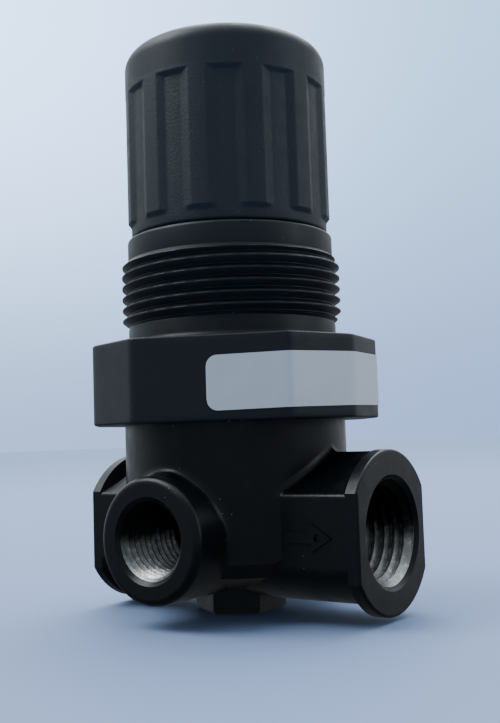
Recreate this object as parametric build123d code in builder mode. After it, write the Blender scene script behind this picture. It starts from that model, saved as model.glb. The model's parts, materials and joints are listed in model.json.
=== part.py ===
"""Miniature relieving air pressure regulator, panel-mount type, with a push-to-lock knob.

Frame: origin on the main axis at the underside of the bottom plug, +Z up through the knob,
+X out of the outlet port, -X out of the inlet port, -Y and +Y out of the two gauge ports.
Threads are plain cylinders: external ones at the crest radius, port threads at the root radius.
All lengths are in millimetres and all angles in degrees.
"""

import os
from math import cos, radians, sin

from build123d import *

# ---------------------------------------------------------------- driving dimensions
PORT_Z = 10.7  # height of the four port axes
BODY_R = 15.0  # round barrel of the casting
COLLAR_Z = 24.9  # underside of the bonnet's hexagon collar
COLLAR_H = 10.5
COLLAR_CORNER_R = 19.6  # all collar corners lie on this circle
COLLAR_CORNERS = (-123.6, -93.6, -33.6, -3.6, 26.4)  # half of the corners, as polar angles
PANEL_THREAD_R = 15.0  # M30 x 1.5 panel thread
PANEL_THREAD_Z = (38.1, 47.1)
NECK_LOW_R = 14.2
NECK_TOP_R = 14.1
SHOULDER_Z = 50.1  # top shoulder of the bonnet, just under the knob
KNOB_Z = (50.3, 76.2)
KNOB_R = 14.0

OUTLET_FACE = 23.4  # port faces, measured from the main axis
INLET_FACE = 19.0
GAUGE_FACE = 18.6

BOSS_FLAT = 8.7  # half the distance across the boss's upright flats
BOSS_FLANGE_R = 10.15
BOSS_FLANGE_T = 1.6
GAUGE_BOSS_R = 7.8
MAIN_PORT_R = 6.6  # 1/4 in pipe thread, root radius
MAIN_MOUTH_R = 7.05
GAUGE_PORT_R = 4.9  # 1/8 in pipe thread, root radius
GAUGE_MOUTH_R = 5.35
PORT_END = 8.5  # inner end of every port bore
PASSAGE_R = 1.5
PASSAGE_AT = 10.2  # distance of the upright passages from the main axis

PLUG_HEX = 10.5  # across flats
PLUG_HEAD_H = 3.8
PLUG_BORE_R = 6.5
PLUG_TOP = 6.6
VALVE_CHAMBER_R = 5.5
SEAT_Z = (16.6, 19.6)
SEAT_R = 4.2
STEM_PASSAGE_R = 3.0
CHAMBER_FLOOR = 25.2  # floor of the diaphragm chamber
CHAMBER_R = 12.0
RIM_Z = 31.7  # top of the casting, where the diaphragm is clamped
SPIGOT_R = 14.5  # casting spigot inside the collar

DIAPHRAGM_T = 1.0
SLIP_RING_T = 0.9
SPRING_SEAT_T = 1.2
HEX_CAVITY = 17.2  # across flats, guides the adjusting nut
CAVITY_R = 11.8
CAVITY_Z = 42.2  # where the round cavity becomes the hexagon one
UPPER_NECK_R = 11.3
BONNET_TOP = 62.7
TOP_PLATE_Z = 59.7
JOURNAL_R = 4.9

NUT_HEX = 16.6
NUT_Z = (52.2, 56.8)
SCREW_R = 4.0  # M8 x 1.25 left hand
SCREW_END = 39.2
DRIVE_HEX = 8.0
DRIVE_TOP = 71.6

RUN = 0.05  # radial clearance of a running fit
GAP = 0.03  # clearance between assembled pieces that don't move

RIBS = 12
RIB_START = 21.5  # polar angle of one rib
RIB_CREST = 5.0  # half angle of a rib at its crest
RIB_BASE = 9.8  # half angle of a rib at its root
RIB_ROOT_R = 13.5
RIB_Z = (51.7, 70.1)

os.makedirs("parts", exist_ok=True)


def finish(builder, name):
    """Labels a finished piece and writes its STEP file."""
    builder.part.label = name
    export_step(builder.part, f"parts/{name}.step")


def polar(radius, angle):
    """Point in the XY plane at a radius and a polar angle."""
    return (radius * cos(radians(angle)), radius * sin(radians(angle)))


def collar_outline(radius):
    """Corners of the ten-sided collar: two wide flats and eight narrow ones."""
    angles = COLLAR_CORNERS + tuple(angle + 180 for angle in COLLAR_CORNERS)
    return [polar(radius, angle) for angle in angles]


def on_barrel(edge):
    """True for a curved edge around a boss that lies in the barrel's surface."""
    points = [edge.position_at(t) for t in (0.1, 0.37, 0.63, 0.9)]
    radii = [(point.X**2 + point.Y**2) ** 0.5 for point in points]
    below_collar = max(point.Z for point in points) < COLLAR_Z - 1
    return below_collar and edge.geom_type != GeomType.CIRCLE and all(abs(r - BODY_R) < 0.02 for r in radii)


def cross_plane(axis, at=0.0):
    """Plane across one port, facing out of it; axis is one of (+-1, 0) and (0, +-1)."""
    x, y = axis
    return Plane(origin=(0, 0, PORT_Z), x_dir=(-y, x, 0), z_dir=(x, y, 0)).offset(at)


# ---------------------------------------------------------------- casting
FOOT_R = 8.6  # flat underside around the plug
POCKET_R = 8.2  # spot face that clears the bosses away from the plug
CONE_R = 13.5
CONE_Z = 5.7
BARREL_FOOT_Z = 7.5
BOSS_TIP_R = BOSS_FLAT / cos(radians(30))
BOSS_FLAT_DROP = 3.5  # how far a boss's flats reach below its axis, before its round underside
BOSS_EDGE = 0.7
BARREL_BLEND = 1.2
MOUTH_EDGE = 0.9
FLANGE_FLARE = 1.7  # length of the 45 degree flare behind the flange
MAIN_EDGE = 0.35
MAIN_PORTS = (((1, 0), OUTLET_FACE), ((-1, 0), INLET_FACE))
GAUGE_PORTS = ((0, 1), (0, -1))
INLET_DRILL_R = 2.5
ARROW_H = 0.25
ARROW_X = 17.1  # base of the arrow's head
SHAFT = (3.4, 1.3)
HEAD = (2.7, 3.4)
DIMPLE_R = 0.5

with BuildPart() as body_casting:
    with BuildSketch(Plane.XZ) as barrel:
        with BuildLine():
            Polyline(
                (0, PLUG_HEAD_H),
                (FOOT_R, PLUG_HEAD_H),
                (CONE_R, CONE_Z),
                (BODY_R, BARREL_FOOT_Z),
                (BODY_R, COLLAR_Z),
                (SPIGOT_R, COLLAR_Z),
                (SPIGOT_R, RIM_Z),
                (0, RIM_Z),
                close=True,
            )
        make_face()
    revolve(axis=Axis.Z)
    for axis, face_at in MAIN_PORTS:
        with BuildSketch(cross_plane(axis)) as boss:
            RegularPolygon(BOSS_TIP_R, 6, rotation=30)
            with Locations((0, BOSS_TIP_R)):
                Rectangle(2 * BOSS_TIP_R, 2 * BOSS_TIP_R, mode=Mode.INTERSECT)
            fillet(boss.vertices().filter_by(lambda v: v.Y > 1), BOSS_EDGE)
            with Locations((0, -BOSS_FLAT_DROP / 2)):
                Rectangle(2 * BOSS_FLAT, BOSS_FLAT_DROP)
            with Locations((0, -BOSS_FLAT_DROP)):
                Ellipse(BOSS_FLAT, BOSS_FLAT - BOSS_FLAT_DROP)
        extrude(amount=face_at)
    for axis in GAUGE_PORTS:
        with BuildSketch(cross_plane(axis)):
            Circle(GAUGE_BOSS_R)
        extrude(amount=GAUGE_FACE)
    fillet(body_casting.edges().filter_by(on_barrel), BARREL_BLEND)
    # round flange at the mouth of each main port, cut off by the boss's upright flats
    for axis, face_at in MAIN_PORTS:
        with BuildSketch(cross_plane(axis, face_at - BOSS_FLANGE_T)) as flange:
            Circle(BOSS_FLANGE_R)
            Rectangle(2 * BOSS_FLAT, 2 * BOSS_FLANGE_R, mode=Mode.INTERSECT)
        extrude(amount=BOSS_FLANGE_T)
        extrude(flange.sketch, amount=-FLANGE_FLARE, taper=45)
    for end in (0, -1):
        mouth = body_casting.faces().filter_by(Axis.X).sort_by(Axis.X)[end]
        fillet(mouth.outer_wire().edges(), MAIN_EDGE)
    gauge_rims = body_casting.edges().filter_by(GeomType.CIRCLE).group_by(Axis.Y)
    fillet([gauge_rims[0][0], gauge_rims[-1][0]], MOUTH_EDGE)
    # flow arrow, raised on the flat beside the front gauge port and pointing to the outlet
    with BuildSketch(Plane(origin=(ARROW_X, -BOSS_FLAT, PORT_Z), x_dir=(1, 0, 0), z_dir=(0, -1, 0))):
        with Locations((-SHAFT[0] / 2, 0)):
            Rectangle(*SHAFT)
        Polygon((0, -HEAD[1] / 2), (0, HEAD[1] / 2), (HEAD[0], 0), align=None)
        with Locations((HEAD[0] / 3, 0)):
            Circle(DIMPLE_R, mode=Mode.SUBTRACT)
    extrude(amount=ARROW_H)
    # port bores, with the thread's mouth chamfer
    for axis, face_at in MAIN_PORTS:
        with Locations(cross_plane(axis, face_at)):
            CounterSinkHole(MAIN_PORT_R, MAIN_MOUTH_R, depth=face_at - PORT_END, counter_sink_angle=90)
    for axis in GAUGE_PORTS:
        with Locations(cross_plane(axis, GAUGE_FACE)):
            CounterSinkHole(
                GAUGE_PORT_R, GAUGE_MOUTH_R, depth=GAUGE_FACE - PORT_END, counter_sink_angle=90
            )
    # bores on the main axis, from the plug's thread up to the diaphragm chamber
    with BuildSketch(Plane.XZ):
        with BuildLine():
            Polyline(
                (0, 0),
                (POCKET_R, 0),
                (POCKET_R, PLUG_HEAD_H),
                (PLUG_BORE_R, PLUG_HEAD_H),
                (PLUG_BORE_R, PLUG_TOP + 0.5),
                (VALVE_CHAMBER_R, PLUG_TOP + 1.5),
                (VALVE_CHAMBER_R, SEAT_Z[0]),
                (SEAT_R, SEAT_Z[0]),
                (SEAT_R, SEAT_Z[1]),
                (STEM_PASSAGE_R, SEAT_Z[1]),
                (STEM_PASSAGE_R, CHAMBER_FLOOR),
                (CHAMBER_R, CHAMBER_FLOOR),
                (CHAMBER_R, RIM_Z),
                (0, RIM_Z),
                close=True,
            )
        make_face()
    revolve(axis=Axis.Z, mode=Mode.SUBTRACT)
    # inlet drilling into the valve chamber, and upright passages from the other ports to the top
    with BuildSketch(cross_plane((-1, 0))):
        Circle(INLET_DRILL_R)
    extrude(amount=PORT_END + 1, mode=Mode.SUBTRACT)
    with BuildSketch(Plane.XY.offset(PORT_Z)):
        with Locations((PASSAGE_AT, 0), (0, PASSAGE_AT), (0, -PASSAGE_AT)):
            Circle(PASSAGE_R)
    extrude(amount=CHAMBER_FLOOR + 1 - PORT_Z, mode=Mode.SUBTRACT)
finish(body_casting, "body_casting")

# ---------------------------------------------------------------- bottom plug and valve
PLUG_SHANK_R = PLUG_BORE_R - GAP
RING_R = 0.62  # section radius of the plug's O-ring
RING_Z = 5.3
RING_GROOVE_R = 5.2
TAIL_R = 1.65  # guided tail of the valve stem
TAIL_BORE_R = TAIL_R + RUN
TAIL_BORE_END = 1.4
TAIL_Z = 2.4
STEM_RING_R = 0.55
STEM_RING_MID_R = 2.3
STEM_RING_POCKET_R = 2.9
STEM_RING_Z = 4.7
HEAD_Z = (13.0, 15.8)
HEAD_R = 4.6
SEAL_R = 3.85
SEAL_T = 1.75
STEM_R = 1.4
STEM_TIP = 30.64
SEAT_BORE_R = 2.6
SEAT_LIP = 0.4
SEAT_LIP_R = 3.2
PLUG_EDGE = 0.4

with BuildPart() as bottom_plug:
    with BuildSketch(Plane.XY):
        RegularPolygon(PLUG_HEX / 2, 6, major_radius=False, rotation=30)
    extrude(amount=PLUG_HEAD_H)
    chamfer(bottom_plug.faces().sort_by(Axis.Z)[0].edges(), PLUG_EDGE)
    with BuildSketch(Plane.XY.offset(PLUG_HEAD_H)):
        Circle(PLUG_SHANK_R)
    extrude(amount=PLUG_TOP - PLUG_HEAD_H)
    with BuildSketch(Plane.XZ):
        with Locations((RING_GROOVE_R + 1, RING_Z)):
            Rectangle(2, 2 * RING_R + 0.3)
    revolve(axis=Axis.Z, mode=Mode.SUBTRACT)
    with BuildSketch(Plane.XY.offset(TAIL_BORE_END)):
        Circle(TAIL_BORE_R)
    extrude(amount=PLUG_TOP, mode=Mode.SUBTRACT)
    with BuildSketch(Plane.XY.offset(STEM_RING_Z - STEM_RING_R - GAP)):
        Circle(STEM_RING_POCKET_R)
    extrude(amount=PLUG_TOP, mode=Mode.SUBTRACT)
finish(bottom_plug, "bottom_plug")

for name, mid_r, section_r, height in (
    ("plug_o_ring", RING_GROOVE_R + GAP + RING_R, RING_R, RING_Z),
    ("stem_o_ring", STEM_RING_MID_R, STEM_RING_R, STEM_RING_Z),
):
    with BuildPart() as o_ring:
        with BuildSketch(Plane.XZ):
            with Locations((mid_r, height)):
                Circle(section_r)
        revolve(axis=Axis.Z)
    finish(o_ring, name)

with BuildPart() as valve_poppet:
    with BuildSketch(Plane.XZ):
        with BuildLine():
            Polyline(
                (0, TAIL_Z),
                (TAIL_R - 0.3, TAIL_Z),
                (TAIL_R, TAIL_Z + 0.3),
                (TAIL_R, HEAD_Z[0]),
                (HEAD_R, HEAD_Z[0]),
                (HEAD_R, HEAD_Z[1]),
                (SEAL_R + GAP, HEAD_Z[1]),
                (SEAL_R + GAP, HEAD_Z[1] - SEAL_T + 0.35),
                (STEM_R, HEAD_Z[1] - SEAL_T + 0.35),
                (STEM_R, STEM_TIP - 0.4),
                (STEM_R - 0.4, STEM_TIP),
                (0, STEM_TIP),
                close=True,
            )
        make_face()
    revolve(axis=Axis.Z)
finish(valve_poppet, "valve_poppet")

with BuildPart() as valve_seal:
    with BuildSketch(Plane.XY.offset(HEAD_Z[1] - SEAL_T + 0.35)):
        Circle(SEAL_R)
        Circle(STEM_R + GAP, mode=Mode.SUBTRACT)
    extrude(amount=SEAL_T)
finish(valve_seal, "valve_seal")

with BuildPart() as valve_seat:
    with BuildSketch(Plane.XZ):
        with BuildLine():
            Polyline(
                (SEAT_BORE_R, SEAT_Z[0] - SEAT_LIP),
                (SEAT_LIP_R, SEAT_Z[0]),
                (SEAT_R - GAP, SEAT_Z[0]),
                (SEAT_R - GAP, SEAT_Z[1]),
                (SEAT_BORE_R, SEAT_Z[1]),
                close=True,
            )
        make_face()
    revolve(axis=Axis.Z)
finish(valve_seat, "valve_seat")

# ---------------------------------------------------------------- diaphragm stack
DIAPHRAGM_Z = RIM_Z
DIAPHRAGM_R = SPIGOT_R - 0.1
RIVET_R = 2.5
RELIEF_R = 0.8
PLATE_R = 8.0
PLATE_T = 1.0
SEAT_PLATE_R = 9.0
PILOT_R = 6.0
PILOT_H = 2.0
RIVET_TOP = 35.2
CONVOLUTION_R = 10.4  # middle of the rolled ring in the rubber
CONVOLUTION_H = 1.5

with BuildPart() as diaphragm:
    with BuildSketch(Plane.XZ):
        with BuildLine():
            Polyline(
                (RIVET_R + GAP, DIAPHRAGM_Z),
                (CONVOLUTION_R - 1.3, DIAPHRAGM_Z),
                (CONVOLUTION_R - 0.5, DIAPHRAGM_Z + CONVOLUTION_H - 0.4),
                (CONVOLUTION_R + 0.5, DIAPHRAGM_Z + CONVOLUTION_H - 0.4),
                (CONVOLUTION_R + 1.3, DIAPHRAGM_Z),
                (DIAPHRAGM_R, DIAPHRAGM_Z),
                (DIAPHRAGM_R, DIAPHRAGM_Z + DIAPHRAGM_T),
                (CONVOLUTION_R + 1.35, DIAPHRAGM_Z + DIAPHRAGM_T),
                (CONVOLUTION_R + 0.8, DIAPHRAGM_Z + CONVOLUTION_H + 0.4),
                (CONVOLUTION_R - 0.8, DIAPHRAGM_Z + CONVOLUTION_H + 0.4),
                (CONVOLUTION_R - 1.35, DIAPHRAGM_Z + DIAPHRAGM_T),
                (RIVET_R + GAP, DIAPHRAGM_Z + DIAPHRAGM_T),
                close=True,
            )
        make_face()
    revolve(axis=Axis.Z)
finish(diaphragm, "diaphragm")

with BuildPart() as relief_plate:
    with BuildSketch(Plane.XZ):
        with BuildLine():
            Polyline(
                (RELIEF_R, DIAPHRAGM_Z - PLATE_T),
                (PLATE_R, DIAPHRAGM_Z - PLATE_T),
                (PLATE_R, DIAPHRAGM_Z),
                (RIVET_R, DIAPHRAGM_Z),
                (RIVET_R, RIVET_TOP),
                (RELIEF_R, RIVET_TOP),
                close=True,
            )
        make_face()
    revolve(axis=Axis.Z)
finish(relief_plate, "relief_plate")

SPRING_FLOOR = DIAPHRAGM_Z + DIAPHRAGM_T + SPRING_SEAT_T
with BuildPart() as lower_spring_seat:
    with BuildSketch(Plane.XZ):
        with BuildLine():
            Polyline(
                (RIVET_R + GAP, DIAPHRAGM_Z + DIAPHRAGM_T),
                (SEAT_PLATE_R, DIAPHRAGM_Z + DIAPHRAGM_T),
                (SEAT_PLATE_R, SPRING_FLOOR),
                (PILOT_R, SPRING_FLOOR),
                (PILOT_R - 0.4, SPRING_FLOOR + PILOT_H),
                (RIVET_R + GAP, SPRING_FLOOR + PILOT_H),
                close=True,
            )
        make_face()
    revolve(axis=Axis.Z)
finish(lower_spring_seat, "lower_spring_seat")

with BuildPart() as slip_ring:
    with BuildSketch(Plane.XY.offset(DIAPHRAGM_Z + DIAPHRAGM_T)):
        Circle(DIAPHRAGM_R)
        Circle(CHAMBER_R + 0.2, mode=Mode.SUBTRACT)
    extrude(amount=SLIP_RING_T)
finish(slip_ring, "slip_ring")

# ---------------------------------------------------------------- springs
for name, wire_r, coil_r, low, high, turns in (
    ("valve_spring", 0.35, 3.9, PLUG_TOP, HEAD_Z[0], 5),
    ("regulating_spring", 0.8, 7.2, SPRING_FLOOR, NUT_Z[0], 5.5),
):
    travel = high - low - 2 * (wire_r + GAP)
    with BuildPart() as spring:
        with BuildLine(Plane.XY.offset(low + wire_r + GAP)):
            coil = Helix(travel / turns, travel, coil_r)
        with BuildSketch(Plane(origin=coil @ 0, z_dir=coil % 0)):
            Circle(wire_r)
        sweep(is_frenet=True)
    finish(spring, name)

# ---------------------------------------------------------------- bonnet
BONNET_BORE_R = SPIGOT_R + RUN
STACK_TOP = DIAPHRAGM_Z + DIAPHRAGM_T + SLIP_RING_T
COLLAR_EDGE = 0.3
COLLAR_BLEND = 0.9
SHOULDER_EDGE = 0.5
CLIP_GROOVE_Z = (56.2, 57.4)
CLIP_GROOVE_R = 10.5

with BuildPart() as bonnet:
    with BuildSketch(Plane.XY.offset(COLLAR_Z)):
        Polygon(*collar_outline(COLLAR_CORNER_R), align=None)
    extrude(amount=COLLAR_H)
    chamfer(bonnet.edges().filter_by(Plane.XY), COLLAR_EDGE)
    with BuildSketch(Plane.XZ):
        with BuildLine():
            Polyline(
                (0, COLLAR_Z + 1),
                (NECK_LOW_R, COLLAR_Z + 1),
                (NECK_LOW_R, PANEL_THREAD_Z[0]),
                (PANEL_THREAD_R, PANEL_THREAD_Z[0]),
                (PANEL_THREAD_R, PANEL_THREAD_Z[1]),
                (NECK_TOP_R, PANEL_THREAD_Z[1]),
                (NECK_TOP_R, SHOULDER_Z - SHOULDER_EDGE),
                (NECK_TOP_R - SHOULDER_EDGE, SHOULDER_Z),
                (UPPER_NECK_R, SHOULDER_Z),
                (UPPER_NECK_R, BONNET_TOP),
                (0, BONNET_TOP),
                close=True,
            )
        make_face()
    revolve(axis=Axis.Z)
    collar_top = COLLAR_Z + COLLAR_H
    neck_root = bonnet.edges().filter_by(GeomType.CIRCLE).filter_by_position(
        Axis.Z, collar_top - 0.01, collar_top + 0.01
    )
    fillet(neck_root, COLLAR_BLEND)
    with BuildSketch(Plane.XZ):
        with BuildLine():
            Polyline(
                (0, COLLAR_Z),
                (BONNET_BORE_R, COLLAR_Z),
                (BONNET_BORE_R, STACK_TOP),
                (CAVITY_R, STACK_TOP),
                (CAVITY_R, CAVITY_Z),
                (HEX_CAVITY / 2, CAVITY_Z + 2),
                (0, CAVITY_Z + 2),
                close=True,
            )
        make_face()
    revolve(axis=Axis.Z, mode=Mode.SUBTRACT)
    with BuildSketch(Plane.XY.offset(CAVITY_Z)):
        RegularPolygon(HEX_CAVITY / 2, 6, major_radius=False)
    extrude(amount=TOP_PLATE_Z - CAVITY_Z, mode=Mode.SUBTRACT)
    with BuildSketch(Plane.XY.offset(TOP_PLATE_Z)):
        Circle(JOURNAL_R + RUN)
    extrude(amount=BONNET_TOP - TOP_PLATE_Z, mode=Mode.SUBTRACT)
    with BuildSketch(Plane.XY.offset(CLIP_GROOVE_Z[0])):
        Circle(UPPER_NECK_R + 1)
        Circle(CLIP_GROOVE_R, mode=Mode.SUBTRACT)
    extrude(amount=CLIP_GROOVE_Z[1] - CLIP_GROOVE_Z[0], mode=Mode.SUBTRACT)
finish(bonnet, "bonnet")

LABEL_Z = (26.1, 33.5)
LABEL_T = 0.12
LABEL_FROM = -65.0  # polar angles of the label's two ends
LABEL_TO = 68.0
with BuildPart() as name_label:
    with BuildSketch(Plane.XY.offset(LABEL_Z[0])):
        Polygon(*collar_outline(COLLAR_CORNER_R + LABEL_T), align=None)
        Polygon(*collar_outline(COLLAR_CORNER_R), align=None, mode=Mode.SUBTRACT)
        Polygon(
            (0, 0),
            polar(2 * COLLAR_CORNER_R, LABEL_FROM),
            (3 * COLLAR_CORNER_R, 0),
            polar(2 * COLLAR_CORNER_R, LABEL_TO),
            align=None,
            mode=Mode.INTERSECT,
        )
    extrude(amount=LABEL_Z[1] - LABEL_Z[0])
finish(name_label, "name_label")

# ---------------------------------------------------------------- adjusting screw, nut and clips
FLANGE_Z = (57.2, 58.65)
FLANGE_R = 7.5
WASHER_T = 0.9
CLIP_Z = (63.0, 63.8)
CLIP_ROOT_R = 4.3
CLIP_R = 6.2
SPLIT = 2.4  # gap of a split ring
SPRING_PILOT_H = 2.0

with BuildPart() as adjusting_screw:
    with BuildSketch(Plane.XZ):
        with BuildLine():
            Polyline(
                (0, SCREW_END),
                (SCREW_R - 0.7, SCREW_END),
                (SCREW_R, SCREW_END + 0.7),
                (SCREW_R, FLANGE_Z[0]),
                (FLANGE_R, FLANGE_Z[0]),
                (FLANGE_R, FLANGE_Z[1]),
                (JOURNAL_R, FLANGE_Z[1]),
                (JOURNAL_R, CLIP_Z[0] - GAP),
                (CLIP_ROOT_R, CLIP_Z[0] - GAP),
                (CLIP_ROOT_R, CLIP_Z[1] + GAP),
                (JOURNAL_R, CLIP_Z[1] + GAP),
                (JOURNAL_R, CLIP_Z[1] + 0.5),
                (0, CLIP_Z[1] + 0.5),
                close=True,
            )
        make_face()
    revolve(axis=Axis.Z)
    with BuildSketch(Plane.XY.offset(CLIP_Z[1])):
        RegularPolygon(DRIVE_HEX / 2, 6, major_radius=False)
    extrude(amount=DRIVE_TOP - CLIP_Z[1])
    chamfer(adjusting_screw.faces().sort_by(Axis.Z)[-1].edges(), 0.4)
finish(adjusting_screw, "adjusting_screw")

with BuildPart() as thrust_washer:
    with BuildSketch(Plane.XY.offset(TOP_PLATE_Z - WASHER_T)):
        Circle(FLANGE_R)
        Circle(JOURNAL_R + 0.2, mode=Mode.SUBTRACT)
    extrude(amount=WASHER_T)
finish(thrust_washer, "thrust_washer")

KNOB_RING_R = (10.6, 11.9)
for name, low, high, inner_r, outer_r in (
    ("screw_clip", CLIP_Z[0], CLIP_Z[1], CLIP_ROOT_R + GAP, CLIP_R),
    ("knob_snap_ring", CLIP_GROOVE_Z[0] + 0.1, CLIP_GROOVE_Z[1] - 0.1, *KNOB_RING_R),
):
    with BuildPart() as clip:
        with BuildSketch(Plane.XY.offset(low)):
            Circle(outer_r)
            Circle(inner_r, mode=Mode.SUBTRACT)
            with Locations((-outer_r, 0)):
                Rectangle(2 * (outer_r - inner_r) + 1, SPLIT, mode=Mode.SUBTRACT)
        extrude(amount=high - low)
    finish(clip, name)

with BuildPart() as adjusting_nut:
    with BuildSketch(Plane.XY.offset(NUT_Z[0])):
        RegularPolygon(NUT_HEX / 2, 6, major_radius=False)
    extrude(amount=NUT_Z[1] - NUT_Z[0])
    with BuildSketch(Plane.XY.offset(NUT_Z[0] - SPRING_PILOT_H)):
        Circle(PILOT_R)
    extrude(amount=SPRING_PILOT_H)
    with BuildSketch(Plane.XY.offset(NUT_Z[0] - SPRING_PILOT_H)):
        Circle(SCREW_R + RUN)
    extrude(amount=NUT_Z[1] - NUT_Z[0] + SPRING_PILOT_H, mode=Mode.SUBTRACT)
finish(adjusting_nut, "adjusting_nut")

# ---------------------------------------------------------------- knob
RIB_H = KNOB_R - RIB_ROOT_R
RIB_SINK = 0.1  # how far a rib's foot reaches into the wall
KNOB_LIP_R = 11.6
KNOB_LIP_Z = 53.6
KNOB_BORE_R = 12.2
KNOB_CEILING = 73.2
KNOB_TOP_EDGE = 2.4
HUB_R = 6.6
HUB_Z = 64.8
SOCKET_HEX = DRIVE_HEX + 0.2
SOCKET_TOP = 72.4

with BuildPart() as knob:
    with BuildSketch(Plane.XZ) as knob_half:
        with BuildLine():
            Polyline(
                (0, KNOB_Z[0]),
                (RIB_ROOT_R, KNOB_Z[0]),
                (RIB_ROOT_R, RIB_Z[1] - RIB_H),
                (KNOB_R, RIB_Z[1]),
                (KNOB_R, KNOB_Z[1]),
                (0, KNOB_Z[1]),
                close=True,
            )
        make_face()
        fillet(knob_half.vertices().group_by(Axis.Y)[-1].sort_by(Axis.X)[-1], KNOB_TOP_EDGE)
    revolve(axis=Axis.Z)
    with BuildSketch(Plane.XY.offset(RIB_Z[0])):
        for step in range(RIBS):
            middle = RIB_START + step * 360 / RIBS
            Polygon(
                polar(RIB_ROOT_R - RIB_SINK, middle - RIB_BASE),
                polar(KNOB_R, middle - RIB_CREST),
                polar(KNOB_R, middle + RIB_CREST),
                polar(RIB_ROOT_R - RIB_SINK, middle + RIB_BASE),
                align=None,
            )
    extrude(amount=RIB_Z[1] - RIB_Z[0])
    # the ribs run out at their lower ends
    with BuildSketch(Plane.XZ):
        Polygon(
            (RIB_ROOT_R, RIB_Z[0]),
            (RIB_ROOT_R + 2 * RIB_H, RIB_Z[0]),
            (RIB_ROOT_R + 2 * RIB_H, RIB_Z[0] + 2 * RIB_H),
            align=None,
        )
    revolve(axis=Axis.Z, mode=Mode.SUBTRACT)
    with BuildSketch(Plane.XZ):
        with BuildLine():
            Polyline(
                (0, KNOB_Z[0]),
                (KNOB_LIP_R, KNOB_Z[0]),
                (KNOB_LIP_R, KNOB_LIP_Z),
                (KNOB_BORE_R, KNOB_LIP_Z),
                (KNOB_BORE_R, KNOB_CEILING),
                (HUB_R, KNOB_CEILING),
                (HUB_R, HUB_Z),
                (0, HUB_Z),
                close=True,
            )
        make_face()
    revolve(axis=Axis.Z, mode=Mode.SUBTRACT)
    with BuildSketch(Plane.XY.offset(HUB_Z)):
        RegularPolygon(SOCKET_HEX / 2, 6, major_radius=False)
    extrude(amount=SOCKET_TOP - HUB_Z, mode=Mode.SUBTRACT)
finish(knob, "knob")
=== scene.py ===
"""Looks of a miniature panel-mount air pressure regulator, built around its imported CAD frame.

Everything is in metres in the frame of the CAD model: the main axis is Z, the outlet faces +X.
"""

import json
import math

import bpy
import numpy as np
from mathutils import Euler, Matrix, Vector


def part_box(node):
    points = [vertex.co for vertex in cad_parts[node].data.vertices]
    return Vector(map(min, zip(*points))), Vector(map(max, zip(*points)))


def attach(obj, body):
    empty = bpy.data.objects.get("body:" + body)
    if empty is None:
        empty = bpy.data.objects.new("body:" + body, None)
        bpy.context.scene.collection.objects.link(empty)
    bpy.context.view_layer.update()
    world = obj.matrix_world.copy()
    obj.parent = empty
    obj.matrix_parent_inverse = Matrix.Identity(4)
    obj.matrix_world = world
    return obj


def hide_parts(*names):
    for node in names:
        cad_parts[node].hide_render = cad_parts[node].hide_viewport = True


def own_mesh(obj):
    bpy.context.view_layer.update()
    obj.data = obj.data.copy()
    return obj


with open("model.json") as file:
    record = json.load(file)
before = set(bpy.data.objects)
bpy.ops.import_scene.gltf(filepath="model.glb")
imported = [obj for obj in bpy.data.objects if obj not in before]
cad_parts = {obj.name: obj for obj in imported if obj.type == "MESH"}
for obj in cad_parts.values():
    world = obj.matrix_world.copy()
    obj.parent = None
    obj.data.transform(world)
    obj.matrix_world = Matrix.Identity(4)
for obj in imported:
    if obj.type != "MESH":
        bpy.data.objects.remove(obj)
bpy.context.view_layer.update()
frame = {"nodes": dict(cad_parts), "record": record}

MM = 0.001
TAU = 2 * math.pi


# ---------------------------------------------------------------- material nodes
def new_material(name, colour, roughness, metallic=0.0, specular=0.5):
    """A material with constant shader settings; returns it with its node tree's helper."""
    material = bpy.data.materials.new(name)
    material.use_nodes = True
    tree = Tree(material.node_tree)
    shader = tree.shader.inputs
    shader["Base Color"].default_value = (*colour, 1)
    shader["Roughness"].default_value = roughness
    shader["Metallic"].default_value = metallic
    shader["Specular IOR Level"].default_value = specular
    return material, tree


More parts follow.
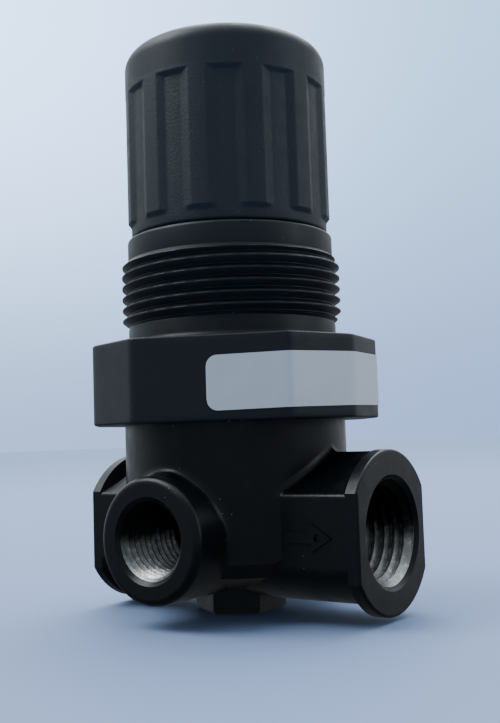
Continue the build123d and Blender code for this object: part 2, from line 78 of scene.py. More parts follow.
class Tree:
    """Short calls for the nodes that the materials share."""

    def __init__(self, node_tree):
        self.nodes = node_tree.nodes
        self.links = node_tree.links
        self.shader = self.nodes["Principled BSDF"]
        self.place = self.add("ShaderNodeTexCoord").outputs["Object"]

    def add(self, kind, **settings):
        node = self.nodes.new(kind)
        for name, value in settings.items():
            setattr(node, name, value)
        return node

    def link(self, source, target):
        self.links.new(source, target)

    def stretch(self, scale):
        """The object's coordinates, scaled by a different amount along each axis."""
        mapping = self.add("ShaderNodeMapping")
        mapping.inputs["Scale"].default_value = scale
        self.link(self.place, mapping.inputs["Vector"])
        return mapping.outputs["Vector"]

    def noise(self, size, detail=2.0, rough=0.5, place=None):
        """Noise with features of about this size, in metres."""
        node = self.add("ShaderNodeTexNoise")
        node.inputs["Scale"].default_value = 1 / size
        node.inputs["Detail"].default_value = detail
        node.inputs["Roughness"].default_value = rough
        self.link(place or self.place, node.inputs["Vector"])
        return node.outputs["Fac"]

    def cells(self, size):
        """Distance from scattered points this far apart, in metres."""
        node = self.add("ShaderNodeTexVoronoi")
        node.inputs["Scale"].default_value = 1 / size
        self.link(self.place, node.inputs["Vector"])
        return node.outputs["Distance"]

    def span(self, value, low, high, to_low=0.0, to_high=1.0):
        """Maps low..high to to_low..to_high and clamps."""
        node = self.add("ShaderNodeMapRange")
        node.inputs["From Min"].default_value = low
        node.inputs["From Max"].default_value = high
        node.inputs["To Min"].default_value = to_low
        node.inputs["To Max"].default_value = to_high
        self.link(value, node.inputs["Value"])
        return node.outputs["Result"]

    def maths(self, operation, a, b):
        node = self.add("ShaderNodeMath", operation=operation)
        for socket, value in zip(node.inputs, (a, b)):
            if isinstance(value, (int, float)):
                socket.default_value = value
            else:
                self.link(value, socket)
        return node.outputs["Value"]

    def mix(self, share, a, b):
        """Mixes two colours; each is a tuple or another node's output."""
        node = self.add("ShaderNodeMix", data_type="RGBA")
        self.link(share, node.inputs["Factor"])
        for socket, value in ((node.inputs["A"], a), (node.inputs["B"], b)):
            if isinstance(value, tuple):
                socket.default_value = (*value, 1)
            else:
                self.link(value, socket)
        return node.outputs["Result"]

    def height(self):
        """Height in the object's coordinates, in metres."""
        node = self.add("ShaderNodeSeparateXYZ")
        self.link(self.place, node.inputs["Vector"])
        return node.outputs["Z"]

    def distance(self):
        """Distance from the object's origin, in metres."""
        node = self.add("ShaderNodeVectorMath", operation="LENGTH")
        self.link(self.place, node.inputs[0])
        return node.outputs["Value"]

    def colour(self, value):
        self.link(value, self.shader.inputs["Base Color"])

    def roughness(self, value):
        self.link(value, self.shader.inputs["Roughness"])

    def bump(self, height, depth, strength=1.0):
        """Adds a bump of this depth, in metres, over any bump that is there."""
        node = self.add("ShaderNodeBump")
        node.inputs["Distance"].default_value = depth
        node.inputs["Strength"].default_value = strength
        self.link(height, node.inputs["Height"])
        before = self.shader.inputs["Normal"].links
        if before:
            self.link(before[0].from_socket, node.inputs["Normal"])
        self.link(node.outputs["Normal"], self.shader.inputs["Normal"])


def dusty(tree, base, dust, share_of_cells=0.06, size=1.1 * MM):
    """A base colour with sparse pale specks of dust on it."""
    specks = tree.span(tree.cells(size), share_of_cells, 0.75 * share_of_cells)
    scatter = tree.span(tree.noise(6 * MM), 0.5, 0.62)
    return tree.mix(tree.maths("MULTIPLY", specks, scatter), base, dust)


def casting_paint():
    """Thick satin black enamel over a die casting, with orange peel and specks of dust."""
    material, tree = new_material("casting_paint", (0.003, 0.004, 0.006), 0.3, specular=0.4)
    shade = tree.mix(tree.noise(9 * MM), (0.0015, 0.003, 0.005), (0.003, 0.005, 0.007))
    tree.colour(dusty(tree, shade, (0.25, 0.26, 0.27)))
    tree.roughness(tree.span(tree.noise(2.5 * MM, 4), 0.3, 0.7, 0.27, 0.4))
    tree.bump(tree.noise(1.6 * MM, 3), 0.05 * MM, 0.5)
    tree.bump(tree.noise(0.25 * MM, 2), 0.008 * MM, 0.6)
    return material


def port_metal():
    """Bare zinc of the cut threads: torn bright spots, grey oxide, and painted shade that darkens the upper
    part of the bore.
    """
    material, tree = new_material("port_thread", (0.42, 0.43, 0.44), 0.33, metallic=1.0)
    torn = tree.span(tree.noise(0.7 * MM, 4, 0.7), 0.52, 0.7)
    shade = tree.mix(tree.noise(1.8 * MM, 3), (0.28, 0.29, 0.29), (0.52, 0.53, 0.52))
    bare = tree.mix(torn, shade, (0.76, 0.77, 0.77))
    uneven = tree.span(tree.noise(1.2 * MM, 3), 0, 1, -1.5 * MM, 1.5 * MM)
    height = tree.maths("ADD", tree.height(), uneven)
    # painted shade: from a little below the port axis upwards the thread goes nearly black, standing in for
    # the shade in the top of the bore
    painted_shade_above = tree.span(height, PORT_Z - 3 * MM, PORT_Z + 0.5 * MM, 0, 0.97)
    tree.colour(tree.mix(painted_shade_above, bare, (0.012, 0.014, 0.016)))
    tree.roughness(tree.span(tree.noise(0.5 * MM, 3), 0.3, 0.7, 0.25, 0.5))
    tree.bump(tree.noise(0.3 * MM, 4, 0.7), 0.05 * MM, 0.7)
    return material


def bonnet_acetal():
    """Black moulded acetal, smooth with a faint grain."""
    material, tree = new_material("black_acetal", (0.011, 0.014, 0.017), 0.42, specular=0.4)
    shade = tree.mix(tree.noise(7 * MM), (0.009, 0.012, 0.015), (0.013, 0.016, 0.019))
    tree.colour(dusty(tree, shade, (0.2, 0.21, 0.22)))
    tree.roughness(tree.span(tree.noise(3 * MM, 3), 0.3, 0.7, 0.36, 0.48))
    tree.bump(tree.noise(0.2 * MM, 3), 0.01 * MM, 0.6)
    return material


def knob_acetal():
    """Black moulded acetal with a spark-eroded grain that fades out on the cap."""
    material, tree = new_material("knob_acetal", (0.022, 0.027, 0.030), 0.45, specular=0.4)
    grained = tree.span(tree.height(), KNOB_RIB_TOP + 0.6 * MM, KNOB_RIB_TOP)
    shade = tree.mix(tree.noise(6 * MM), (0.019, 0.023, 0.026), (0.026, 0.031, 0.034))
    tree.colour(dusty(tree, shade, (0.2, 0.21, 0.21)))
    tree.roughness(tree.span(tree.noise(2 * MM, 3), 0.3, 0.7, 0.4, 0.52))
    grain = tree.maths("MULTIPLY", tree.noise(0.3 * MM, 3, 0.6), tree.span(grained, 0, 1, 0.3, 1))
    tree.bump(grain, 0.06 * MM, 0.8)
    return material


def label_foil():
    """Silvered polyester label: fine brushed lines, slight smudges."""
    material, tree = new_material("label_foil", (0.70, 0.72, 0.70), 0.42, metallic=0.25)
    lines = tree.noise(0.12 * MM, 2, place=tree.stretch((1, 1, 0.06)))
    smudge = tree.noise(3.5 * MM, 4, 0.6)
    tree.colour(tree.mix(smudge, (0.66, 0.68, 0.66), (0.76, 0.78, 0.75)))
    tree.roughness(tree.span(smudge, 0.3, 0.7, 0.36, 0.5))
    tree.bump(lines, 0.006 * MM, 0.5)
    return material


def rubber():
    """Black nitrile rubber with a dull moulded surface."""
    material, tree = new_material("seal_rubber", (0.02, 0.02, 0.021), 0.7, specular=0.35)
    tree.colour(tree.mix(tree.noise(1.5 * MM, 3), (0.014, 0.014, 0.015), (0.03, 0.03, 0.031)))
    tree.roughness(tree.span(tree.noise(0.6 * MM, 3), 0.3, 0.7, 0.6, 0.8))
    tree.bump(tree.noise(0.2 * MM, 3), 0.02 * MM, 0.6)
    return material


def machined(name, dark, light, rough_from, rough_to):
    """Turned or drawn metal, with fine lines around the main axis."""
    material, tree = new_material(name, light, rough_from, metallic=1.0)
    turning = tree.noise(0.1 * MM, 2, place=tree.stretch((0.1, 0.1, 1)))
    tree.colour(tree.mix(tree.noise(1.5 * MM, 3), dark, light))
    tree.roughness(tree.span(turning, 0.3, 0.7, rough_from, rough_to))
    tree.bump(turning, 0.01 * MM, 0.6)
    return material


def white_acetal():
    """Natural white acetal of the thrust washer and slip ring."""
    material, tree = new_material("white_acetal", (0.75, 0.74, 0.7), 0.4, specular=0.5)
    tree.colour(tree.mix(tree.noise(2 * MM, 3), (0.70, 0.69, 0.64), (0.80, 0.79, 0.75)))
    tree.roughness(tree.span(tree.noise(0.8 * MM, 2), 0.3, 0.7, 0.33, 0.48))
    tree.bump(tree.noise(0.15 * MM, 2), 0.01 * MM, 0.5)
    return material


# ---------------------------------------------------------------- mesh helpers
def add_mesh(name, points, faces, material, body, sharp=35):
    """A new piece from points in metres, smooth except at edges over `sharp` degrees."""
    mesh = bpy.data.meshes.new(name)
    mesh.from_pydata([tuple(p) for p in points], [], faces)
    mesh.validate()
    piece = bpy.data.objects.new(name, mesh)
    bpy.context.scene.collection.objects.link(piece)
    mesh.materials.append(material)
    smooth(mesh, sharp)
    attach(piece, body)
    return piece


def smooth(mesh, sharp):
    """Smooth shading, except at edges over `sharp` degrees."""
    mesh.polygons.foreach_set("use_smooth", [True] * len(mesh.polygons))
    mesh.set_sharp_from_angle(angle=math.radians(sharp))


def lathe_faces(rows, columns, closed):
    """Quads between rings of points, the last ring joined to the first if closed."""
    faces = []
    for row in range(rows if closed else rows - 1):
        here, there = row * columns, (row + 1) % rows * columns
        for column in range(columns):
            after = (column + 1) % columns
            faces.append((here + column, here + after, there + after, there + column))
    return faces


def ring(radius, height, angles):
    """Points of one ring; radius and height are numbers or one value for each angle."""
    radius = np.broadcast_to(radius, angles.shape)
    height = np.broadcast_to(height, angles.shape)
    return np.column_stack((radius * np.cos(angles), radius * np.sin(angles), height))


def solid_ring(rings):
    """Points and faces of a closed ring-shaped solid. Its section runs clockwise from outside."""
    columns = len(rings[0])
    return np.concatenate(rings), lathe_faces(len(rings), columns, closed=True)


def solid_with_axis(rings, first_z, last_z):
    """Points and faces of a solid whose section starts and ends on the axis."""
    columns = len(rings[0])
    faces = lathe_faces(len(rings), columns, closed=False)
    points = np.concatenate([*rings, [(0, 0, first_z), (0, 0, last_z)]])
    first, last = len(points) - 2, len(points) - 1
    end = (len(rings) - 1) * columns
    for column in range(columns):
        after = (column + 1) % columns
        faces.append((first, after, column))
        faces.append((last, end + column, end + after))
    return points, faces


def tube_faces(loops, count):
    """Quads between this many loops of `count` points each, open at both ends."""
    faces = []
    for here in range(0, (loops - 1) * count, count):
        there = here + count
        for k in range(count):
            after = (k + 1) % count
            faces.append((here + k, here + after, there + after, there + k))
    return faces


def hexagon_radius(across_flats, angles):
    """Radius of a hexagon that has two of its flats across Y."""
    turned = (angles + math.pi / 6) % (math.pi / 3) - math.pi / 6
    return across_flats / 2 / np.cos(turned)


def ramp(value, low, high):
    """0 at low, 1 at high, straight between and clamped outside."""
    return np.clip((value - low) / (high - low), 0, 1)


def softened(shape, value, width):
    """A shape function averaged over a small width, which rounds its corners."""
    shifts = np.linspace(-width / 2, width / 2, 9)
    return np.mean([shape(value + shift) for shift in shifts], axis=0)


def arc(centre_r, centre_z, radius, start, end, steps):
    """(r, z) points of a fillet between two angles in degrees."""
    turns = np.radians(np.linspace(start, end, steps))
    return [(centre_r + radius * math.cos(t), centre_z + radius * math.sin(t)) for t in turns]


# ---------------------------------------------------------------- sizes from the frame
MOUNTS = {mount["name"]: mount for mount in frame["record"]["mounts"]}
PORT_Z = MOUNTS["outlet_port"]["pos_m"][2]
KNOB_LOW, KNOB_HIGH = (corner.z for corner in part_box("knob"))
KNOB_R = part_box("knob")[1].y
KNOB_RIB_TOP = KNOB_HIGH - 6.1 * MM
COLLAR_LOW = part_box("bonnet")[0].z
BONNET_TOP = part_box("bonnet")[1].z
LABEL_LOW, LABEL_HIGH = (corner.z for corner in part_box("name_label"))
OUTLET_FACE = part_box("body_casting")[1].x
INLET_FACE = -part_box("body_casting")[0].x
GAUGE_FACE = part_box("body_casting")[1].y


# ---------------------------------------------------------------- knob
RIBS = 12
RIB_START = 21.5  # degrees
RIB_CREST = 5.0
RIB_BASE = 9.8
RIB_H = 0.5 * MM
RIB_FOOT = 1.4 * MM  # plain rim below the ribs
CAP_EDGE = 2.4 * MM


def knob_radius(angles, height):
    """Outer radius of the ribbed wall: ribs rise from the rim and run into the cap."""
    pitch = 360 / RIBS
    off_rib = np.abs((np.degrees(angles) - RIB_START + pitch / 2) % pitch - pitch / 2)
    rib = softened(lambda u: 1 - ramp(u, RIB_CREST, RIB_BASE), off_rib, 1.2)
    foot = softened(lambda z: ramp(z, RIB_FOOT, RIB_FOOT + RIB_H), height - KNOB_LOW, 0.2 * MM)
    cap = softened(lambda z: ramp(z, -RIB_H, 0), height - KNOB_RIB_TOP, 0.25 * MM)
    return KNOB_R - RIB_H * (1 - np.maximum(rib * foot, cap))


def make_knob():
    angles = np.linspace(0, TAU, RIBS * 48, endpoint=False)
    lip_r, lip_z = 11.6 * MM, KNOB_LOW + 3.3 * MM
    bore_r, ceiling = 12.2 * MM, KNOB_HIGH - 3 * MM
    hub_r, hub_z = 6.6 * MM, KNOB_HIGH - 11.4 * MM
    socket, socket_top = 8.2 * MM, KNOB_HIGH - 3.8 * MM
    rim_edge = 0.35 * MM
    rings = []
    # flat top and its rounded edge
    for radius in np.linspace(0.15, 1, 6) * (KNOB_R - CAP_EDGE):
        rings.append(ring(radius, KNOB_HIGH, angles))
    for r, z in arc(KNOB_R - CAP_EDGE, KNOB_HIGH - CAP_EDGE, CAP_EDGE, 90, 0, 14)[1:]:
        rings.append(ring(r, z, angles))
    # ribbed wall
    wall = np.concatenate(
        (
            np.linspace(KNOB_HIGH - CAP_EDGE - 0.6 * MM, KNOB_RIB_TOP + 0.2 * MM, 6),
            np.linspace(KNOB_RIB_TOP + 0.13 * MM, KNOB_RIB_TOP - 0.7 * MM, 14),
            np.linspace(KNOB_RIB_TOP - 1.5 * MM, KNOB_LOW + RIB_FOOT + 1.2 * MM, 18),
            np.linspace(KNOB_LOW + RIB_FOOT + 0.7 * MM, KNOB_LOW + RIB_FOOT - 0.15 * MM, 14),
        )
    )
    for z in wall:
        rings.append(ring(knob_radius(angles, z), z, angles))
    rim_r = KNOB_R - RIB_H
    for r, z in arc(rim_r - rim_edge, KNOB_LOW + rim_edge, rim_edge, 0, -90, 6):
        rings.append(ring(r, z, angles))
    # inside: lip, bore, ceiling, hub and hexagon socket
    for r, z in (
        (lip_r + 0.3 * MM, KNOB_LOW),
        (lip_r, KNOB_LOW + 0.3 * MM),
        (lip_r, lip_z),
        (bore_r, lip_z + 0.1 * MM),
        (bore_r, ceiling - 0.5 * MM),
        (bore_r - 0.5 * MM, ceiling),
        (hub_r + 0.5 * MM, ceiling),
        (hub_r, ceiling - 0.5 * MM),
        (hub_r, hub_z),
    ):
        rings.append(ring(r, z, angles))
    for z in (hub_z, socket_top):
        rings.append(ring(hexagon_radius(socket, angles), z, angles))
    points, faces = solid_with_axis(rings, KNOB_HIGH, socket_top)
    faces = [face[::-1] for face in faces]
    piece = add_mesh("knob_moulding", points, faces, MATERIALS["knob_acetal"], "knob")
    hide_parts("knob")


# ---------------------------------------------------------------- bonnet
COLLAR_H = 10.5 * MM
COLLAR_CORNER_R = 19.6 * MM
COLLAR_CORNERS = (-123.6, -93.6, -33.6, -3.6, 26.4)  # degrees; the other half is opposite
COLLAR_EDGE = 0.3 * MM
COLLAR_BLEND = 0.9 * MM
THREAD_PITCH = 1.5 * MM
THREAD_DEPTH = 0.92 * MM
THREAD_LOW = COLLAR_LOW + 13.2 * MM
THREAD_HIGH = THREAD_LOW + 9 * MM
THREAD_CREST_AT = (-53.6, THREAD_HIGH - 0.3 * MM)  # polar angle and height of a point on the crest
THREAD_R = 15.0 * MM
RUN_OUT = 0.8 * MM


def collar_radius(angles, grow=0.0):
    """Radius of the collar's ten-sided outline, with slightly rounded corners."""
    corners = np.radians(sorted(a % 360 for a in COLLAR_CORNERS + tuple(a + 180 for a in COLLAR_CORNERS)))
    after = np.append(corners[1:], corners[0] + TAU)
    middles, halves = (corners + after) / 2, (after - corners) / 2
    distances = COLLAR_CORNER_R * np.cos(halves) + grow
    facing = np.cos(angles[:, None] - middles[None, :])
    edge_on = 0.2  # sides turned further away than this can't be met from here
    sides = np.where(facing > edge_on, distances / np.maximum(facing, edge_on), np.inf)
    sharpness = 110
    shortest = sides.min(axis=1)
    return shortest * ((shortest[:, None] / sides) ** sharpness).sum(axis=1) ** (-1 / sharpness)


def thread_profile(phase, crest, root):
    """Depth share 0..1 of a V thread with a flat crest at phase 0 and a narrow flat root."""
    off_crest = np.abs((phase + 0.5) % 1 - 0.5) * 2
    return softened(lambda u: ramp(np.abs(u), crest, 1 - root), off_crest, 0.06)


def panel_thread_radius(angles, height):
    crest_angle, crest_z = THREAD_CREST_AT
    phase = (height - crest_z) / THREAD_PITCH - (angles - math.radians(crest_angle)) / TAU
    depth = THREAD_DEPTH * thread_profile(phase, 0.12, 0.08)
    ends = max(0.0, THREAD_LOW + RUN_OUT - height, height - THREAD_HIGH + RUN_OUT) / RUN_OUT
    return THREAD_R - np.maximum(depth, min(1.0, ends) * THREAD_DEPTH)


def make_bonnet():
    angles = np.linspace(0, TAU, 720, endpoint=False)
    collar_top = COLLAR_LOW + COLLAR_H
    neck_low, neck_top, shoulder = 14.2 * MM, 14.1 * MM, COLLAR_LOW + 25.2 * MM
    upper_neck, clip_groove = 11.3 * MM, 10.5 * MM
    groove_low = BONNET_TOP - 6.5 * MM
    groove_high = groove_low + 1.2 * MM
    stack_r, stack_top = 14.55 * MM, COLLAR_LOW + 8.7 * MM
    cavity_r, cavity_z = 11.8 * MM, COLLAR_LOW + 17.3 * MM
    hex_cavity, plate_z, journal_r = 17.2 * MM, BONNET_TOP - 3 * MM, 4.95 * MM
    edge = 0.5 * MM
    outline = collar_radius(angles)
    rings = []

    def add(radius, height):
        rings.append(ring(radius, height, angles))

    # collar, from its underside to its top
    rounding = arc(-COLLAR_EDGE, 0, COLLAR_EDGE, -90, 0, 5)
    for r, z in rounding:
        add(outline + r, COLLAR_LOW + COLLAR_EDGE + z)
    for z in np.linspace(COLLAR_LOW + 0.8 * MM, collar_top - 0.8 * MM, 5):
        add(outline, z)
    for r, z in reversed(rounding):
        add(outline + r, collar_top - COLLAR_EDGE - z)
    # blend into the neck
    for r, z in arc(neck_low + COLLAR_BLEND, collar_top + COLLAR_BLEND, COLLAR_BLEND, 270, 180, 8):
        add(r, z)
    add(neck_low, THREAD_LOW - 0.4 * MM)
    # panel thread
    for z in np.arange(THREAD_LOW, THREAD_HIGH + 0.01 * MM, 0.05 * MM):
        add(panel_thread_radius(angles, z), z)
    add(neck_top, THREAD_HIGH + 0.15 * MM)
    add(neck_top, shoulder - edge)
    for r, z in arc(neck_top - edge, shoulder - edge, edge, 0, 90, 6)[1:]:
        add(r, z)
    add(upper_neck, shoulder)
    add(upper_neck, groove_low)
    add(clip_groove, groove_low)
    add(clip_groove, groove_high)
    add(upper_neck, groove_high)
    add(upper_neck, BONNET_TOP - edge)
    add(upper_neck - edge, BONNET_TOP)
    # inside, from the journal bore down to the open underside
    add(journal_r, BONNET_TOP)
    add(journal_r, plate_z)
    add(hexagon_radius(hex_cavity, angles), plate_z)
    add(hexagon_radius(hex_cavity, angles), cavity_z + 2 * MM)
    add(cavity_r, cavity_z)
    add(cavity_r, stack_top)
    add(stack_r, stack_top)
    add(stack_r, COLLAR_LOW)
    points, faces = solid_ring(rings)
    acetal = MATERIALS["black_acetal"]
    piece = add_mesh("bonnet_moulding", points, faces, acetal, "housing", sharp=40)
    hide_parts("bonnet")


# ---------------------------------------------------------------- label
LABEL_ENDS = (-65.0, 68.0)  # degrees
LABEL_CORNER = 1.4 * MM
LABEL_DROP = 0.7 * MM  # the label was stuck on slightly slanted


def make_label():
    """A thin strip that follows the collar's faces and has rounded corners."""
    first, last = (math.radians(a) for a in LABEL_ENDS)
    angles = np.linspace(first, last, 360)
    inner = collar_radius(angles, 0.02 * MM)
    outer = collar_radius(angles, 0.1 * MM)
    line = np.column_stack((outer * np.cos(angles), outer * np.sin(angles)))
    along = np.append(0, np.cumsum(np.linalg.norm(np.diff(line, axis=0), axis=1)))
    to_end = np.minimum(along, along[-1] - along)
    short = np.clip(LABEL_CORNER - to_end, 0, LABEL_CORNER)
    half = (LABEL_HIGH - LABEL_LOW) / 2 - (LABEL_CORNER - np.sqrt(LABEL_CORNER**2 - short**2))
    half = half - LABEL_DROP / 2
    middle = (LABEL_LOW + LABEL_HIGH) / 2 + LABEL_DROP * (ramp(along, 0, along[-1]) - 0.5)
    loops = []
    for angle, r_in, r_out, mid, reach in zip(angles, inner, outer, middle, half):
        heights = mid + reach * np.linspace(-1, 1, 9)
        front = [(r_out * math.cos(angle), r_out * math.sin(angle), z) for z in heights]
        back = [(r_in * math.cos(angle), r_in * math.sin(angle), z) for z in heights[::-1]]
        loops.append(front + back)
    count = len(loops[0])
    # the loops run the other way round here, so each quad is turned over; its first corner stays
    faces = [(a, d, c, b) for a, b, c, d in tube_faces(len(loops), count)]
    end = (len(loops) - 1) * count
    faces.append(tuple(range(count)))
    faces.append(tuple(end + k for k in reversed(range(count))))
    points = [p for loop in loops for p in loop]
    piece = add_mesh("label", points, faces, MATERIALS["label_foil"], "housing", sharp=50)
    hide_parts("name_label")


# ---------------------------------------------------------------- port threads
def port_liner(name, direction, face_at, root_r, mouth_r, crest_r, pitch):
    """The bare metal thread of one port, a sleeve just inside the painted bore."""
    bore_end = 8.5 * MM
    skin = 0.03 * MM
    angles = np.linspace(0, TAU, 120, endpoint=False)
    chamfer = mouth_r - root_r
    outer_r = root_r - skin
    length = face_at - bore_end - skin
    rings = []

    def add(radius, depth):
        rings.append(ring(radius, -depth, angles))

    # depth is measured into the port from its face; the thread tapers and its mouth is opened up
    start = chamfer + skin
    add(outer_r, length)
    add(outer_r, start)
    taper = 1 / 32
    wall = 0.12 * MM  # left between the thread's root and the painted bore
    mouth_step, mouth_slope = 0.15 * MM, 0.8
    for depth in np.arange(start, length, pitch / 24):
        groove = thread_profile(depth / pitch - angles / TAU, 0.1, 0.06)
        crest = crest_r - taper * depth
        root = outer_r - wall - taper * depth
        opening = mouth_r - mouth_step - mouth_slope * depth
        add(np.maximum(crest + (root - crest) * groove, opening), depth)
    add(crest_r - taper * length, length)
    points, faces = solid_ring(rings[::-1])
    x, y = direction
    turned_x = points[:, 0] * -y + points[:, 2] * x
    turned_y = points[:, 0] * x + points[:, 2] * y
    turned = np.column_stack((turned_x, turned_y, points[:, 1]))
    placed = turned + np.array((x * face_at, y * face_at, PORT_Z))
    add_mesh(name, placed, faces, MATERIALS["port_thread"], "housing")


def make_port_threads():
    # radii of the root, the mouth and the crest, then the pitch
    main = (6.6 * MM, 7.05 * MM, 5.72 * MM, 1.41 * MM)
    gauge = (4.9 * MM, 5.35 * MM, 4.28 * MM, 0.94 * MM)
    port_liner("outlet_thread", (1, 0), OUTLET_FACE, *main)
    port_liner("inlet_thread", (-1, 0), INLET_FACE, *main)
    port_liner("gauge_thread_rear", (0, 1), GAUGE_FACE, *gauge)
    port_liner("gauge_thread_front", (0, -1), GAUGE_FACE, *gauge)


# ---------------------------------------------------------------- springs
def make_spring(name, replaced, wire_r, coil_r, low, high, turns):
    """A compression spring with closed end coils."""
    steps = int(turns * 40)
    share = np.linspace(0, 1, steps)
    closed = 1.0 / turns  # share of the length in each closed end coil
    rise = 2 * wire_r / ((high - low) - 2 * wire_r)
    height = np.interp(share, (0, closed, 1 - closed, 1), (0, rise, 1 - rise, 1))
    height = low + wire_r + height * (high - low - 2 * wire_r)
    turn = share * turns * TAU
    centre = np.column_stack((coil_r * np.cos(turn), coil_r * np.sin(turn), height))
    around = np.linspace(0, TAU, 14, endpoint=False)
    points = []
    for spot, angle in zip(centre, turn):
        outward = np.array((math.cos(angle), math.sin(angle), 0))
        loop = [spot + wire_r * (math.cos(a) * outward + math.sin(a) * np.array((0, 0, 1))) for a in around]
        points += loop
    points = np.array(points)
    count = len(around)
    faces = tube_faces(steps, count)
    end = (steps - 1) * count
    faces.append(tuple(reversed(range(count))))
    faces.append(tuple(end + k for k in range(count)))
    piece = add_mesh(name, points, faces, MATERIALS["spring_steel"], "housing")
    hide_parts(replaced)
    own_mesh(piece)


def make_springs():
    low, high = (corner.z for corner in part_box("regulating_spring"))
    make_spring("regulating_coil", "regulating_spring", 0.8 * MM, 7.2 * MM, low, high, 7)
    low, high = (corner.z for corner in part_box("valve_spring"))
    make_spring("valve_coil", "valve_spring", 0.35 * MM, 3.9 * MM, low, high, 6.5)


# ---------------------------------------------------------------- CAD nodes that stay
NODE_MATERIALS = {
    "body_casting": "casting_paint",
    "bottom_plug": "black_acetal",
    "plug_o_ring": "seal_rubber",
    "stem_o_ring": "seal_rubber",
    "valve_seal": "seal_rubber",
    "diaphragm": "seal_rubber",
    "valve_seat": "brass_parts",
    "valve_poppet": "brass_parts",
    "adjusting_nut": "brass_parts",
    "relief_plate": "brass_parts",
    "lower_spring_seat": "plated_steel",
    "adjusting_screw": "plated_steel",
    "screw_clip": "spring_steel",
    "knob_snap_ring": "spring_steel",
    "slip_ring": "white_acetal",
    "thrust_washer": "white_acetal",
}


def finish_cad_nodes():
    for name, material in NODE_MATERIALS.items():
        node = frame["nodes"][name]
        node.data.materials.clear()
        node.data.materials.append(MATERIALS[material])


# ---------------------------------------------------------------- stage
def make_floor():
    """A large pale sheet with painted light: its colour gets lighter with distance from the part, to meet
    the brighter backdrop.
    """
    material, tree = new_material("floor_paper", (0.34, 0.46, 0.74), 0.7, specular=0.2)
    near = tree.mix(tree.noise(60 * MM, 2), (0.29, 0.395, 0.65), (0.31, 0.415, 0.67))
    # painted light: darker near the part, lighter from 6 cm out to 90 cm away
    tree.colour(tree.mix(tree.span(tree.distance(), 0.06, 0.9), near, (0.46, 0.62, 0.93)))
    reach = 3.0
    mesh = bpy.data.meshes.new("floor")
    corners = [(-reach, -reach, 0), (reach, -reach, 0), (reach, reach, 0), (-reach, reach, 0)]
    mesh.from_pydata(corners, [], [(0, 1, 2, 3)])
    mesh.materials.append(material)
    floor = bpy.data.objects.new("floor", mesh)
    bpy.context.scene.collection.objects.link(floor)
    floor.visible_glossy = False


CAMERA_AZIMUTH = 36.38  # degrees from -Y towards +X


def make_world():
    """Pale backdrop for the eye; for light, dim on the viewer's side, bright above and behind."""
    world = bpy.data.worlds.new("room")
    bpy.context.scene.world = world
    world.use_nodes = True
    nodes, links = world.node_tree.nodes, world.node_tree.links
    place = nodes.new("ShaderNodeTexCoord")

    def facing(direction, low, high, start, end):
        dot = nodes.new("ShaderNodeVectorMath")
        dot.operation = "DOT_PRODUCT"
        dot.inputs[1].default_value = direction
        links.new(place.outputs["Generated"], dot.inputs[0])
        span = nodes.new("ShaderNodeMapRange")
        span.interpolation_type = "SMOOTHSTEP"
        for socket, value in zip(("From Min", "From Max", "To Min", "To Max"), (low, high, start, end)):
            span.inputs[socket].default_value = value
        links.new(dot.outputs["Value"], span.inputs["Value"])
        return span.outputs["Result"]

    def join(operation, a, b):
        node = nodes.new("ShaderNodeMath")
        node.operation = operation
        links.new(a, node.inputs[0])
        links.new(b, node.inputs[1])
        return node.outputs["Value"]

    def blend(share, a, b):
        node = nodes.new("ShaderNodeMix")
        node.data_type = "RGBA"
        links.new(share, node.inputs["Factor"])
        for socket, value in ((node.inputs["A"], a), (node.inputs["B"], b)):
            if isinstance(value, tuple):
                socket.default_value = (*value, 1)
            else:
                links.new(value, socket)
        return node.outputs["Result"]

    azimuth = math.radians(CAMERA_AZIMUTH)
    to_viewer = (math.sin(azimuth), -math.cos(azimuth), 0)
    to_right = (math.cos(azimuth), math.sin(azimuth), 0)
    upward = (0, 0, 1)
    leaning_back = (0.9 * Vector(upward) - 0.44 * Vector(to_viewer)).normalized()
    around = join("MULTIPLY", facing(to_viewer, -0.6, 0.35, 0.62, 0.3), facing(upward, -0.35, 0.0, 0.2, 1.0))
    total = join("ADD", around, facing(leaning_back, 0.45, 0.98, 0.0, 1.7))
    light = nodes["Background"]
    tint = blend(facing(to_right, -0.2, 0.8, 0, 1), (0.82, 0.92, 1.0), (0.86, 0.93, 1.0))
    links.new(tint, light.inputs["Color"])
    links.new(total, light.inputs["Strength"])

    across = facing(to_right, -0.3, 0.3, 0.0, 1.0)
    low_band = blend(across, (0.60, 0.86, 1.35), (0.49, 0.71, 1.28))
    high_band = blend(across, (1.95, 2.9, 4.5), (0.77, 1.33, 2.05))
    backdrop = nodes.new("ShaderNodeBackground")
    links.new(blend(facing(upward, 0.0, 0.42, 0.0, 1.0), low_band, high_band), backdrop.inputs["Color"])
    path = nodes.new("ShaderNodeLightPath")
    choose = nodes.new("ShaderNodeMixShader")
    links.new(path.outputs["Is Camera Ray"], choose.inputs["Fac"])
    links.new(light.outputs["Background"], choose.inputs[1])
    links.new(backdrop.outputs["Background"], choose.inputs[2])
    links.new(choose.outputs["Shader"], nodes["World Output"].inputs["Surface"])


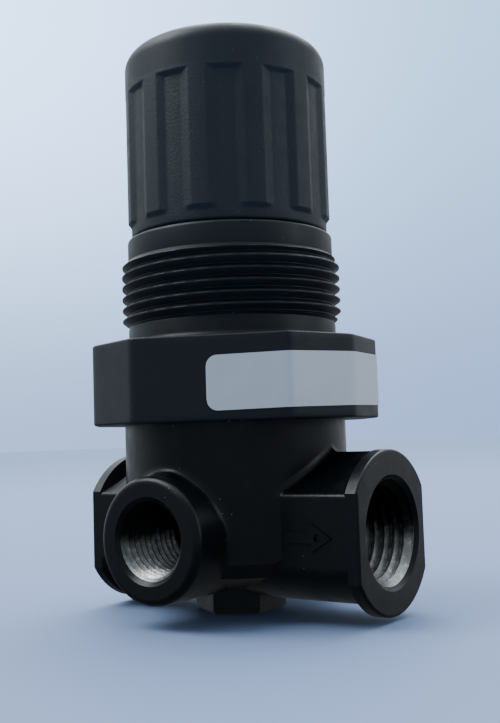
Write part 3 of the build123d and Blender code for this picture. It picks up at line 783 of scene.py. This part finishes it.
def add_light(name, azimuth, elevation, distance, size, power, colour):
    """A soft square lamp aimed at the middle of the part."""
    lamp = bpy.data.lights.new(name, "AREA")
    lamp.size = size
    lamp.energy = power
    lamp.color = colour
    a, e = math.radians(azimuth), math.radians(elevation)
    away = Vector((math.sin(a) * math.cos(e), -math.cos(a) * math.cos(e), math.sin(e)))
    holder = bpy.data.objects.new(name, lamp)
    holder.location = Vector((0, 0, 0.035)) + away * distance
    holder.rotation_euler = (-away).to_track_quat("-Z", "Y").to_euler()
    bpy.context.scene.collection.objects.link(holder)


def make_lights():
    view = CAMERA_AZIMUTH
    add_light("window", view - 84, 50, 0.6, 0.35, 2.0, (0.95, 0.98, 1.0))
    add_light("top_fill", view + 165, 62, 0.6, 0.4, 1.8, (0.92, 0.96, 1.0))
    add_light("right_fill", view + 75, 20, 0.6, 0.3, 0.3, (0.86, 0.93, 1.0))


def make_camera():
    """A phone held just above the port axes, 131 mm from the main axis."""
    distance, height = 131.46 * MM, 22.62 * MM
    azimuth = math.radians(CAMERA_AZIMUTH)
    camera = bpy.data.objects.new("camera", bpy.data.cameras.new("camera"))
    camera.data.lens = 47.64
    camera.data.sensor_width = 36
    camera.data.clip_start = 0.005
    camera.data.clip_end = 20
    camera.location = (distance * math.sin(azimuth), -distance * math.cos(azimuth), height)
    pan, tilt, roll = 35.39, 94.62, -1.865  # degrees
    turn = Euler((0, 0, math.radians(pan))).to_matrix() @ Euler((math.radians(tilt), 0, 0)).to_matrix()
    turn = turn @ Euler((0, 0, math.radians(roll))).to_matrix()
    camera.rotation_euler = turn.to_euler()
    bpy.context.scene.collection.objects.link(camera)
    bpy.context.scene.camera = camera


MATERIALS = {
    "casting_paint": casting_paint(),
    "port_thread": port_metal(),
    "black_acetal": bonnet_acetal(),
    "knob_acetal": knob_acetal(),
    "label_foil": label_foil(),
    "seal_rubber": rubber(),
    "spring_steel": machined("spring_steel", (0.30, 0.31, 0.33), (0.48, 0.49, 0.50), 0.25, 0.4),
    "plated_steel": machined("plated_steel", (0.50, 0.48, 0.40), (0.68, 0.66, 0.56), 0.2, 0.38),
    "brass_parts": machined("brass_parts", (0.58, 0.42, 0.17), (0.78, 0.59, 0.28), 0.2, 0.36),
    "white_acetal": white_acetal(),
}

make_camera()
make_world()
make_lights()
make_floor()
make_knob()
make_bonnet()
make_label()
make_port_threads()
make_springs()
finish_cad_nodes()
